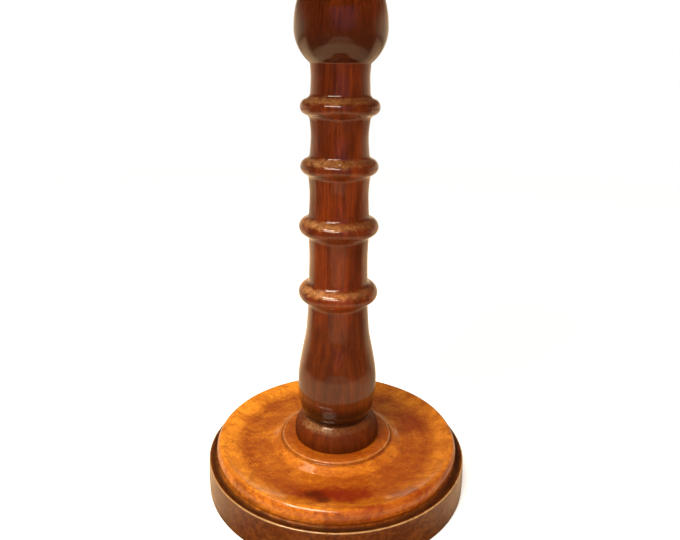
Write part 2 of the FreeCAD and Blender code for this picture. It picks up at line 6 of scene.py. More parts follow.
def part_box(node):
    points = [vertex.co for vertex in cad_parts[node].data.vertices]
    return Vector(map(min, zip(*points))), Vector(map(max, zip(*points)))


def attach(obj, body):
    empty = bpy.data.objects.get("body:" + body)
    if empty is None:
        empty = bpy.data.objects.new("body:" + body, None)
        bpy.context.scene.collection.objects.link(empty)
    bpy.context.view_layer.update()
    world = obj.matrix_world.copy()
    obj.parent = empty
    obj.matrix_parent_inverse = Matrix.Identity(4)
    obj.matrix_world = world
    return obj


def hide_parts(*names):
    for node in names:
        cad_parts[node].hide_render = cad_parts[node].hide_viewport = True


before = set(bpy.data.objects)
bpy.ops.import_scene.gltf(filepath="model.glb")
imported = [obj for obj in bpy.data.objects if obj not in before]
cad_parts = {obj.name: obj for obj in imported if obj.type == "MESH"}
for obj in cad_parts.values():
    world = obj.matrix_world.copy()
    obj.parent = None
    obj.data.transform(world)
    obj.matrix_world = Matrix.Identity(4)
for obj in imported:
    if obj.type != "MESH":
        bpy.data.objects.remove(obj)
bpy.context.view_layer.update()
weldDistance = 0.00001


def deselectAll():
    if bpy.context.object and bpy.context.object.mode != 'OBJECT':
        bpy.ops.object.mode_set(mode='OBJECT')
    bpy.ops.object.select_all(action='DESELECT')


def makeActive(piece):
    deselectAll()
    piece.select_set(True)
    bpy.context.view_layer.objects.active = piece


def applyModifiers(piece):
    makeActive(piece)
    for modifier in list(piece.modifiers):
        bpy.ops.object.modifier_apply(modifier=modifier.name)


def setMaterial(piece, material):
    piece.data.materials.clear()
    piece.data.materials.append(material)


def arcPoints(centreR, centreZ, radius, fromDeg, toDeg, steps):
    points = []
    for step in range(steps + 1):
        angle = math.radians(fromDeg + (toDeg - fromDeg) * step / steps)
        points.append((centreR + radius * math.cos(angle), centreZ + radius * math.sin(angle)))
    return points


def throughPoints(points, steps):  # Catmull-Rom curve through given points
    ends = [points[0]] + points + [points[-1]]
    curve = []
    for a, b, c, d in zip(ends, ends[1:], ends[2:], ends[3:]):
        for step in range(steps):
            t = step / steps
            pair = []
            for k in range(2):
                straight = 2 * b[k] + (c[k] - a[k]) * t
                bend = (2 * a[k] - 5 * b[k] + 4 * c[k] - d[k]) * t ** 2
                twist = (3 * b[k] - a[k] - 3 * c[k] + d[k]) * t ** 3
                pair.append(0.5 * (straight + bend + twist))
            curve.append(tuple(pair))
    curve.append(points[-1])
    return curve


def easeCorners(points, reach):  # each sharp corner becomes a tiny chamfer that Subdivision rounds
    eased = [points[0]]
    for before, corner, after in zip(points, points[1:], points[2:]):
        for other in (before, after):
            run = Vector(other) - Vector(corner)
            step = min(reach, run.length * 0.4)
            eased.append(tuple(Vector(corner) + run.normalized() * step))
    eased.append(points[-1])
    return eased


def turnPiece(name, profile, sides):
    # One vertex is extruded along the profile, and the line is spun round the axis as on a lathe
    deselectAll()
    bpy.ops.mesh.primitive_plane_add(size=0.002, location=(profile[0][0], 0, profile[0][1]))
    piece = bpy.context.object
    piece.name = piece.data.name = name
    bpy.ops.object.mode_set(mode='EDIT')
    bpy.ops.mesh.select_all(action='SELECT')
    bpy.ops.mesh.merge(type='CENTER')
    for (r0, z0), (r1, z1) in zip(profile, profile[1:]):
        bpy.ops.mesh.extrude_region_move(TRANSFORM_OT_translate={"value": (r1 - r0, 0, z1 - z0)})
    bpy.ops.mesh.select_all(action='SELECT')
    bpy.ops.mesh.spin(steps=sides, angle=math.radians(360), center=(0, 0, 0), axis=(0, 0, 1))
    bpy.ops.mesh.select_all(action='SELECT')
    bpy.ops.mesh.remove_doubles(threshold=weldDistance)
    bpy.ops.mesh.normals_make_consistent(inside=False)
    bpy.ops.object.mode_set(mode='OBJECT')
    bpy.ops.object.transform_apply(location=True, rotation=True, scale=True)
    return piece


def addSubdivision(piece, levels):
    modifier = piece.modifiers.new("smooth", 'SUBSURF')
    modifier.levels = modifier.render_levels = levels


def addUnevenness(piece, name, size, strength, group=""):
    # Slight waviness left by the lathe, wear and two centuries of drying
    clouds = bpy.data.textures.new(name, 'CLOUDS')
    clouds.noise_scale = size
    clouds.noise_depth = 2
    modifier = piece.modifiers.new(name, 'DISPLACE')
    modifier.texture = clouds
    modifier.texture_coords = 'LOCAL'
    modifier.mid_level = 0.5
    modifier.strength = strength
    modifier.vertex_group = group


def addRingGroup(piece, name, radius, height, reach):  # vertices near one circle of the turning
    group = piece.vertex_groups.new(name=name)
    for vertex in piece.data.vertices:
        away = math.hypot(math.hypot(vertex.co.x, vertex.co.y) - radius, vertex.co.z - height)
        if away < reach:
            group.add([vertex.index], 1.0 - away / reach, 'REPLACE')


cameraValues = {
    "lens": 33.1,
    "distance": 0.658,
    "height": 0.488,
    "aside": 0.0019,
    "pitch": 18.6,
    "roll": 0.7,
}


def addCamera():
    data = bpy.data.cameras.new("camera")
    data.sensor_width = 36
    data.lens = cameraValues["lens"]
    data.clip_start = 0.01
    camera = bpy.data.objects.new("camera", data)
    bpy.context.collection.objects.link(camera)
    place = Matrix.Translation((cameraValues["aside"], -cameraValues["distance"], cameraValues["height"]))
    tip = Matrix.Rotation(math.radians(90 - cameraValues["pitch"]), 4, 'X')
    lean = Matrix.Rotation(math.radians(cameraValues["roll"]), 4, 'Z')
    camera.matrix_world = place @ tip @ lean
    bpy.context.scene.camera = camera


addCamera()
print("camera placed")


def addNode(tree, kind, **settings):
    node = tree.nodes.new(kind)
    for key, value in settings.items():
        setattr(node, key, value)
    return node


def plug(tree, socket, value):  # value is a socket, a number or a colour
    if isinstance(value, bpy.types.NodeSocket):
        tree.links.new(value, socket)
    elif value is not None:
        socket.default_value = value


def mathValue(tree, operation, a, b=None, c=None):
    node = addNode(tree, 'ShaderNodeMath', operation=operation)
    for socket, value in zip(node.inputs, (a, b, c)):
        plug(tree, socket, value)
    return node.outputs[0]


def times(tree, a, b):
    return mathValue(tree, 'MULTIPLY', a, b)


def vectorMath(tree, operation, a, b=None):
    node = addNode(tree, 'ShaderNodeVectorMath', operation=operation)
    plug(tree, node.inputs[0], a)
    plug(tree, node.inputs[1], b)
    return node.outputs["Value"] if operation in ('LENGTH', 'DOT_PRODUCT') else node.outputs[0]


def rangeValue(tree, value, low, high, toLow=0.0, toHigh=1.0, smooth=True):
    node = addNode(tree, 'ShaderNodeMapRange')
    node.interpolation_type = 'SMOOTHSTEP' if smooth else 'LINEAR'
    for key, item in (("Value", value), ("From Min", low), ("From Max", high), ("To Min", toLow),
                      ("To Max", toHigh)):
        plug(tree, node.inputs[key], item)
    return node.outputs["Result"]


def mixColour(tree, factor, a, b):
    node = addNode(tree, 'ShaderNodeMix', data_type='RGBA')
    plug(tree, node.inputs[0], factor)
    plug(tree, node.inputs[6], a)
    plug(tree, node.inputs[7], b)
    return node.outputs[2]


def layer(tree, colour, mask, amount, tone):  # tone laid over colour where the mask is, at this strength
    return mixColour(tree, times(tree, mask, amount), colour, tone)


def splitPlace(tree, place):  # the three coordinates, and the distance from the turning's axis
    parts = addNode(tree, 'ShaderNodeSeparateXYZ')
    plug(tree, parts.inputs[0], place)
    flat = addNode(tree, 'ShaderNodeCombineXYZ')
    plug(tree, flat.inputs[0], parts.outputs[0])
    plug(tree, flat.inputs[1], parts.outputs[1])
    return (*parts.outputs, vectorMath(tree, 'LENGTH', flat.outputs[0]))


def stretch(tree, vector, scale, turn=(0, 0, 0), move=(0, 0, 0)):
    node = addNode(tree, 'ShaderNodeMapping')
    plug(tree, node.inputs["Vector"], vector)
    node.inputs["Scale"].default_value = scale
    node.inputs["Rotation"].default_value = turn
    node.inputs["Location"].default_value = move
    return node.outputs[0]


def noiseValue(tree, vector, scale, detail=2.0, rough=0.5, distort=0.0):
    node = addNode(tree, 'ShaderNodeTexNoise')
    for key, item in (("Vector", vector), ("Scale", scale), ("Detail", detail), ("Roughness", rough),
                      ("Distortion", distort)):
        plug(tree, node.inputs[key], item)
    return node.outputs["Fac"]


def newGroup(name, inputs, outputs):
    tree = bpy.data.node_groups.new(name, 'ShaderNodeTree')
    for label, kind, value in inputs:
        socket = tree.interface.new_socket(name=label, in_out='INPUT', socket_type=kind)
        if value is not None:
            socket.default_value = value
    for label, kind in outputs:
        tree.interface.new_socket(name=label, in_out='OUTPUT', socket_type=kind)
    return tree, addNode(tree, 'NodeGroupInput').outputs, addNode(tree, 'NodeGroupOutput').inputs


def useGroup(tree, group, **values):
    node = addNode(tree, 'ShaderNodeGroup', node_tree=group)
    for key, value in values.items():
        plug(tree, node.inputs[key], value)
    return node.outputs


floatKind, vectorKind = 'NodeSocketFloat', 'NodeSocketVector'


def makeGrain():
    # Wood figure for grain that runs along local Z: broad figure, fine fibres and short dark pores
    tree, given, out = newGroup("woodGrain", [
        ("Vector", vectorKind, None),
        ("Figure Scale", floatKind, 30.0),
        ("Fibre Scale", floatKind, 420.0),
        ("Warp", floatKind, 0.01),
    ], [("Figure", floatKind), ("Fibre", floatKind), ("Pore", floatKind)])
    warp = addNode(tree, 'ShaderNodeTexNoise')
    plug(tree, warp.inputs["Vector"], given["Vector"])
    warp.inputs["Scale"].default_value = 14.0
    centred = vectorMath(tree, 'SUBTRACT', warp.outputs["Color"], (0.5, 0.5, 0.5))
    scaled = addNode(tree, 'ShaderNodeVectorMath', operation='SCALE')
    plug(tree, scaled.inputs[0], centred)
    plug(tree, scaled.inputs["Scale"], given["Warp"])
    bent = vectorMath(tree, 'ADD', given["Vector"], scaled.outputs[0])
    broad = noiseValue(tree, stretch(tree, bent, (1, 1, 0.14)), given["Figure Scale"], 4.0, 0.62, 0.6)
    fine = noiseValue(tree, stretch(tree, bent, (1, 1, 0.03)), given["Fibre Scale"], 4.0, 0.7)
    coarse, small = times(tree, given["Fibre Scale"], 0.33), times(tree, given["Fibre Scale"], 2.1)
    middle = noiseValue(tree, stretch(tree, bent, (1, 1, 0.05)), coarse, 3.0, 0.6)
    dash = noiseValue(tree, stretch(tree, bent, (1, 1, 0.09)), small, 1.0, 0.5)
    plug(tree, out["Figure"], rangeValue(tree, broad, 0.3, 0.7))
    fibre = mathValue(tree, 'ADD', times(tree, fine, 0.45), times(tree, middle, 0.55))
    plug(tree, out["Fibre"], rangeValue(tree, fibre, 0.34, 0.66))
    plug(tree, out["Pore"], rangeValue(tree, dash, 0.64, 0.74))
    return tree


def makeBlotch():
    # Patches where stain and old polish took unevenly
    tree, given, out = newGroup("stainBlotch", [
        ("Vector", vectorKind, None),
        ("Scale", floatKind, 16.0),
        ("Low", floatKind, 0.42),
        ("High", floatKind, 0.62),
    ], [("Mask", floatKind), ("Mottle", floatKind)])
    cloud = noiseValue(tree, given["Vector"], given["Scale"], 6.0, 0.62, 0.9)
    small = noiseValue(tree, given["Vector"], times(tree, given["Scale"], 7.0), 5.0, 0.7, 0.3)
    plug(tree, out["Mask"], rangeValue(tree, cloud, given["Low"], given["High"]))
    plug(tree, out["Mottle"], rangeValue(tree, small, 0.35, 0.68))
    return tree


def makeTurnedBand():
    # 1 on one circle of a turning, falling to 0 at Width away from it, with a ragged edge
    tree, given, out = newGroup("turnedBand", [
        ("Vector", vectorKind, None),
        ("Radius", floatKind, 0.1),
        ("Height", floatKind, 0.05),
        ("Width", floatKind, 0.004),
        ("Ragged", floatKind, 0.5),
    ], [("Mask", floatKind)])
    _, _, height, radius = splitPlace(tree, given["Vector"])
    outward = mathValue(tree, 'SUBTRACT', radius, given["Radius"])
    upward = mathValue(tree, 'SUBTRACT', height, given["Height"])
    squares = mathValue(tree, 'ADD', times(tree, outward, outward), times(tree, upward, upward))
    away = mathValue(tree, 'SQRT', squares)
    share = mathValue(tree, 'DIVIDE', away, given["Width"])
    ripple = mathValue(tree, 'SUBTRACT', noiseValue(tree, given["Vector"], 160.0, 4.0, 0.65), 0.5)
    share = mathValue(tree, 'MULTIPLY_ADD', ripple, times(tree, given["Ragged"], 2.0), share)
    plug(tree, out["Mask"], rangeValue(tree, share, 1.0, 0.25))
    return tree


def makeStainSpot():
    # One soft-edged dark patch in the wood, such as a knot, centred where it is told
    tree, given, out = newGroup("stainSpot", [
        ("Vector", vectorKind, None),
        ("Centre", vectorKind, (0, 0, 0)),
        ("Size", vectorKind, (0.03, 0.01, 0.03)),
        ("Ragged", floatKind, 0.6),
    ], [("Mask", floatKind)])
    away = vectorMath(tree, 'SUBTRACT', given["Vector"], given["Centre"])
    away = vectorMath(tree, 'DIVIDE', away, given["Size"])
    reach = vectorMath(tree, 'LENGTH', away)
    ripple = mathValue(tree, 'SUBTRACT', noiseValue(tree, given["Vector"], 70.0, 5.0, 0.7, 0.5), 0.5)
    reach = mathValue(tree, 'MULTIPLY_ADD', ripple, times(tree, given["Ragged"], 2.0), reach)
    plug(tree, out["Mask"], rangeValue(tree, reach, 1.15, 0.2))
    return tree


def makeDust():
    # Sparse bright specks and a faint haze, for varnish that is handled but not spotless
    tree, given, out = newGroup("dustSpecks", [
        ("Vector", vectorKind, None),
        ("Scale", floatKind, 55.0),
        ("Amount", floatKind, 0.2),
    ], [("Speck", floatKind), ("Smear", floatKind)])
    cells = addNode(tree, 'ShaderNodeTexVoronoi')
    plug(tree, cells.inputs["Vector"], given["Vector"])
    plug(tree, cells.inputs["Scale"], given["Scale"])
    parts = addNode(tree, 'ShaderNodeSeparateColor')
    plug(tree, parts.inputs[0], cells.outputs["Color"])
    chosen = mathValue(tree, 'LESS_THAN', parts.outputs[0], given["Amount"])
    dot = rangeValue(tree, cells.outputs["Distance"], 0.05, 0.02)
    plug(tree, out["Speck"], times(tree, dot, chosen))
    smear = noiseValue(tree, given["Vector"], times(tree, given["Scale"], 0.6), 6.0, 0.68, 0.4)
    plug(tree, out["Smear"], rangeValue(tree, smear, 0.4, 0.7))
    return tree


grainGroup = makeGrain()
blotchGroup = makeBlotch()
bandGroup = makeTurnedBand()
spotGroup = makeStainSpot()
dustGroup = makeDust()
print("shader groups made")


def newMaterial(name):
    material = bpy.data.materials.new(name)
    material.use_nodes = True
    tree = material.node_tree
    shader = tree.nodes["Principled BSDF"]
    place = addNode(tree, 'ShaderNodeTexCoord').outputs["Object"]
    return material, tree, shader, place


def bumpNormal(tree, shader, height, distance):
    node = addNode(tree, 'ShaderNodeBump')
    node.inputs["Distance"].default_value = distance
    node.inputs["Strength"].default_value = 1.0
    plug(tree, node.inputs["Height"], height)
    plug(tree, shader.inputs["Normal"], node.outputs[0])


def woodFigure(tree, vector, figure, fibre, warp):
    scales = {"Figure Scale": figure, "Fibre Scale": fibre}
    return useGroup(tree, grainGroup, Vector=vector, Warp=warp, **scales)


def bandMask(tree, place, radius, height, width, ragged=0.5):
    return useGroup(tree, bandGroup, Vector=place, Radius=radius, Height=height, Width=width,
                    Ragged=ragged)["Mask"]


def spotMask(tree, place, centre, size, ragged):
    return useGroup(tree, spotGroup, Vector=place, Centre=centre, Size=size, Ragged=ragged)["Mask"]


def strongest(tree, masks):
    result = masks[0]
    for mask in masks[1:]:
        result = mathValue(tree, 'MAXIMUM', result, mask)
    return result


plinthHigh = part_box("base_plinth")[1]
discLow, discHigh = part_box("base_disc")
columnLow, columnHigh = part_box("column")
topLow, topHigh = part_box("table_top")
shoulderZ = discHigh[2]

plinthShape = {
    "edgeRadius": 0.1524,
    "footRadius": 0.1536,
    "recessRadius": 0.122,
    "recessDepth": 0.0054,
    "bore": 0.0222,
    "hollowWidth": 0.0098,
    "hollowDepth": 0.0016,
    "lip": 0.0014,
    "arris": 0.0016,
    "ease": 0.0005,
}


def plinthProfile():
    s = plinthShape
    shelfZ = plinthHigh[2]
    inner = s["edgeRadius"] - s["lip"] - s["hollowWidth"]
    middle = s["edgeRadius"] - s["lip"] - s["hollowWidth"] / 2
    start = (s["bore"], s["recessDepth"])
    sharp = [
        start,
        (s["recessRadius"] - 0.002, s["recessDepth"]),
        (s["recessRadius"], 0.0),
        (s["footRadius"] - s["arris"], 0.0),
        (s["footRadius"], s["arris"]),
        (s["footRadius"] + 0.0001, shelfZ * 0.45),
        (s["edgeRadius"] + 0.0001, shelfZ - 0.0012),
        (s["edgeRadius"] - 0.0003, shelfZ),
        (s["edgeRadius"] - 0.0016, shelfZ - 0.0001),
        (middle + 0.0022, shelfZ - s["hollowDepth"] * 0.9),
        (middle - 0.0022, shelfZ - s["hollowDepth"]),
        (inner, shelfZ - 0.0001),
        (s["bore"], shelfZ - 0.0001),
        start,
    ]
    return easeCorners(sharp, s["ease"])


discShape = {
    "radius": 0.143,
    "undercut": 0.004,
    "crestInset": 0.005,
    "crestRise": 0.0178,
    "dishOuter": 0.117,
    "dishRise": 0.0106,
    "dishInner": 0.0795,
    "bossRadius": 0.065,
    "bossStep": 0.0022,
    "bore": 0.0222,
    "ease": 0.0005,
    "stepEase": 0.0004,
    "ogee": ((1.0, 0.0), (0.76, 0.16), (0.50, 0.52), (0.24, 0.90), (0.0, 1.0)),  # shares of width and rise
}


def discProfile():
    s = discShape
    low, crestZ = discLow[2], discLow[2] + s["crestRise"]
    dishZ = low + s["dishRise"]
    crestR = s["radius"] - s["crestInset"]
    start = (s["bore"], low + 0.0001)
    under = [start, (s["radius"] - s["undercut"], low + 0.0001)]
    side = [
        (s["radius"] - 0.0016, low + 0.0009),
        (s["radius"], low + 0.0028),
        (s["radius"] + 0.0003, low + 0.0085),
        (s["radius"] - s["crestInset"] * 0.22, crestZ - 0.0034),
        (crestR, crestZ),
        (crestR - 0.0084, crestZ - 0.0029),
        (s["dishOuter"], dishZ + 0.0010),
        ((s["dishOuter"] + s["dishInner"]) / 2, dishZ),
    ]
    ogeeLow, ogeeHigh = dishZ + 0.0004, shoulderZ - 0.001 - s["bossStep"]
    for across, rise in s["ogee"]:
        side.append((s["bossRadius"] + across * (s["dishInner"] - s["bossRadius"]),
                     ogeeLow + rise * (ogeeHigh - ogeeLow)))
    boss = [
        (s["bossRadius"], shoulderZ - 0.0012),
        (s["bossRadius"] - 0.0006, shoulderZ - 0.0004),
        (s["bossRadius"] - 0.0020, shoulderZ),
        (s["bore"], shoulderZ),
        start,
    ]
    corner = easeCorners([side[-2], side[-1], boss[0]], s["stepEase"])[1:-1]
    return easeCorners(under + [side[0]], s["ease"])[:-1] + throughPoints(side, 4)[:-1] + corner + boss


columnShape = {
    "tenon": 0.022,
    "footRadius": 0.0498,
    "footSide": 0.009,
    "footHeight": 0.027,
    "waistRadius": 0.0385,
    "vaseHeight": 0.154,
    "ringGaps": (0.0752, 0.0646, 0.0607),
    "ringRadii": (0.0442, 0.0433, 0.0412, 0.0413),
    "beadRadii": (0.0098, 0.0091, 0.0082, 0.0082),
    "neckRadii": (0.0337, 0.0328, 0.0325, 0.0312, 0.0308),
    "neckWaists": (0.0322, 0.0315, 0.0300, 0.0301),
    "coveRadius": 0.006,
    "bulbRise": 0.0422,
    "bulbBase": 0.0309,
    "bulbRadius": 0.0469,
    "bulbLower": 0.043,
    "bulbHeight": 0.0863,
    "bulbTop": 0.027,
    "collarCove": 0.009,
    "collarThick": 0.006,
    "collarRadius": 0.043,
    "headTenon": 0.015,
    "ease": 0.0004,
}
vaseShape = (  # share of the vase's height, radius
    (0.10, 0.0430),
    (0.24, 0.0453),
    (0.42, 0.0448),
    (0.60, 0.0404),
    (0.77, 0.0360),
)
waistZ = shoulderZ + columnShape["footHeight"]
ringHeights = [waistZ + columnShape["vaseHeight"]]
for gap in columnShape["ringGaps"]:
    ringHeights.append(ringHeights[-1] + gap)
bulbZ = ringHeights[-1] + columnShape["bulbRise"]


def ringProfile(centreZ, crest, bead, neckBelow, neckAbove):
    cove = columnShape["coveRadius"]
    middleR = crest - bead
    points = []
    for neck, sign in ((neckBelow, -1), (neckAbove, 1)):
        across = neck + cove - middleR
        rise = math.sqrt((bead + cove) ** 2 - across ** 2)
        lean = math.degrees(math.atan2(rise, across))
        coveArc = arcPoints(neck + cove, centreZ + sign * rise, cove, 180, 180 + sign * lean, 5)
        if sign < 0:
            points += coveArc[:-1] + arcPoints(middleR, centreZ, bead, -lean, 0, 7)[:-1]
        else:
            points += arcPoints(middleR, centreZ, bead, 0, lean, 7)[:-1] + coveArc[::-1]
    return points


def columnProfile():
    s = columnShape
    tenonLow, headZ = columnLow[2], columnHigh[2]
    foot = [
        (0, tenonLow),
        (s["tenon"] - 0.0006, tenonLow),
        (s["tenon"], tenonLow + 0.0006),
        (s["tenon"], shoulderZ),
        (s["footRadius"] - 0.0008, shoulderZ),
        (s["footRadius"] - 0.0006, shoulderZ + 0.0006),
    ]
    shoulder = [
        (s["footRadius"] - 0.0004, shoulderZ + 0.002),
        (s["footRadius"], shoulderZ + s["footSide"]),
        (s["footRadius"] - 0.0018, waistZ - 0.0108),
        (s["footRadius"] - 0.0056, waistZ - 0.0048),
        (s["waistRadius"] + 0.0014, waistZ - 0.0010),
        (s["waistRadius"] + 0.0003, waistZ - 0.0001),
    ]
    rings = []
    for count, height in enumerate(ringHeights):
        necks = s["neckRadii"][count:count + 2]
        rings.append(ringProfile(height, s["ringRadii"][count], s["beadRadii"][count], *necks))
    vaseTop = rings[0][0]
    vase = [(s["waistRadius"], waistZ + 0.0008)]
    for share, radius in vaseShape:
        vase.append((radius, waistZ + share * (vaseTop[1] - waistZ)))
    profile = foot + throughPoints(shoulder, 5) + throughPoints(vase + [vaseTop], 4)[:-1]
    for count, ring in enumerate(rings):
        profile += ring
        above = (s["bulbBase"], bulbZ)
        if count + 1 < len(rings):
            above = rings[count + 1][0]
        middle = (s["neckWaists"][count], ring[-1][1] + (above[1] - ring[-1][1]) * 0.55)
        profile += throughPoints([ring[-1], middle, above], 5)[1:-1]
    profile.append((s["bulbBase"] - 0.0003, bulbZ - 0.0005))
    middleZ = bulbZ + s["bulbLower"] * math.sqrt(1 - (s["bulbBase"] / s["bulbRadius"]) ** 2)
    upper = (bulbZ + s["bulbHeight"] - middleZ) / math.sqrt(1 - (s["bulbTop"] / s["bulbRadius"]) ** 2)
    first = -math.acos((s["bulbBase"] + 0.0006) / s["bulbRadius"])
    last = math.acos(s["bulbTop"] / s["bulbRadius"])
    for rise, low, high, steps in ((s["bulbLower"], first, 0, 9), (upper, 0, last, 9)):
        for step in range(steps + (low == 0)):
            angle = low + (high - low) * step / steps
            profile.append((s["bulbRadius"] * math.cos(angle), middleZ + rise * math.sin(angle)))
    collarZ = bulbZ + s["bulbHeight"] + s["collarCove"]
    cove = s["collarCove"]
    profile += arcPoints(s["bulbTop"] + cove, collarZ - cove, cove, 180, 90, 5)[1:]
    head = [
        (s["bulbTop"] + s["collarCove"] + 0.0004, collarZ),
        (s["collarRadius"], collarZ),
        (s["collarRadius"], collarZ + s["collarThick"]),
        (s["headTenon"], collarZ + s["collarThick"]),
        (s["headTenon"], headZ - 0.0004),
    ]
    return profile + easeCorners(head, s["ease"]) + [(s["headTenon"] - 0.0006, headZ), (0, headZ)]


topShape = {
    "middle": 0.1,
    "edgeBand": 0.03,
    "cove": 0.007,
    "fillet": 0.0015,
    "ovolo": 0.009,
    "ovoloDrop": 0.0016,
    "lip": 0.0105,
    "ease": 0.0004,
}


def topProfile():
    s = topShape
    rim, low, high = topHigh[0], topLow[2], topHigh[2]
    cove = arcPoints(rim - s["fillet"] - s["cove"], low + s["cove"], s["cove"], -90, 0, 6)
    ovoloZ = high - s["ovoloDrop"] - s["ovolo"]
    ovolo = arcPoints(rim - s["ovolo"], ovoloZ, s["ovolo"], 0, 88, 7)
    edge = [cove[-1], (rim - s["fillet"], ovoloZ - 0.002), (rim, ovoloZ - s["ease"]), ovolo[0]]
    below = [(0, low), (s["middle"], low), (rim - s["edgeBand"], low), (rim - 0.0095, low)]
    above = [
        (rim - s["lip"] + 0.0013, high - 0.0013),
        (rim - s["lip"] + 0.0012, high - 0.0001),
        (rim - s["lip"], high),
        (rim - s["edgeBand"], high),
        (s["middle"], high),
        (0, high),
    ]
    return below + cove[:-1] + easeCorners(edge, s["ease"]) + ovolo[1:] + above


woodTones = {  # linear colour
    "amber": (0.83, 0.295, 0.020, 1),
    "honey": (0.60, 0.193, 0.012, 1),
    "russet": (0.22, 0.038, 0.0028, 1),
    "umber": (0.060, 0.0095, 0.0015, 1),
    "black": (0.016, 0.006, 0.002, 1),
    "stain": (0.17, 0.016, 0.003, 1),
    "plinthLight": (0.095, 0.023, 0.0024, 1),
    "plinthDark": (0.036, 0.0058, 0.0010, 1),
    "dustAndSheen": (0.38, 0.22, 0.09, 1),
}


def varnish(shader, roughness, coatRoughness):
    shader.inputs["Roughness"].default_value = roughness
    shader.inputs["IOR"].default_value = 1.5
    shader.inputs["Specular IOR Level"].default_value = 0.06
    shader.inputs["Coat Weight"].default_value = 1.0
    shader.inputs["Coat Roughness"].default_value = coatRoughness
    shader.inputs["Coat IOR"].default_value = 1.5


columnFinish = {
    "neckLight": (0.178, 0.027, 0.0022, 1),
    "neckDark": (0.040, 0.0055, 0.0008, 1),
    "bodyLight": (0.120, 0.021, 0.0019, 1),
    "bodyDark": (0.034, 0.0055, 0.0008, 1),
    "wornAndLitTone": (0.62, 0.290, 0.100, 1),
    "bulbLitTone": (0.30, 0.050, 0.0040, 1),
    "vaseFootShadeTone": (0.015, 0.0027, 0.0004, 1),
    "speckTone": (0.8, 0.74, 0.62, 1),
    "figureScale": 44.0,
    "fibreScale": 560.0,
    "warp": 0.010,
    "fibreShare": 0.66,
    "patchScale": 26.0,
    "patchStretch": (1, 1, 0.45),
    "patchRange": (0.4, 0.66),
    "patchDepth": 0.45,
    "dustScale": 60.0,
    "dustAmount": 0.05,
    "vaseFade": (0.012, 0.040),  # below the lowest ring
    "bulbPaintedLight": 0.34,
    "bulbShade": (0.072, 0.006),  # above the bulb's base
    "vaseFootShade": (0.030, 0.016),  # above the waist
    "wearPlace": 0.0055,  # inside the ring's crest
    "wearReach": 0.0068,
    "wearRagged": 0.7,
    "wearAndLightSide": (0.032, -0.018),  # X where the rubbing and the painted light are weakest and strongest
    "wearAndLightWeakest": 0.30,
    "wearAndLight": 0.92,
    "speckleScale": 900.0,
    "speckleShare": 0.6,
    "frontLeftSpotPlace": (-0.026, -0.034, -0.002),  # from the waist's centre
    "frontLeftSpotSize": (0.030, 0.022, 0.016),
    "creviceDustAndSheen": 0.8,
    "footPaintedLight": 0.07,
    "pore": 0.5,
    "baseGloss": 0.42,
    "coatRoughness": 0.07,
    "roughness": (0.32, 0.55),
    "dullestCoat": 0.04,
    "bump": 0.00012,
    "wearBump": 2.4,
}


def fibreBump(tree, grain):
    return mathValue(tree, 'MULTIPLY_ADD', grain["Fibre"], 0.5, times(tree, grain["Pore"], -0.8))


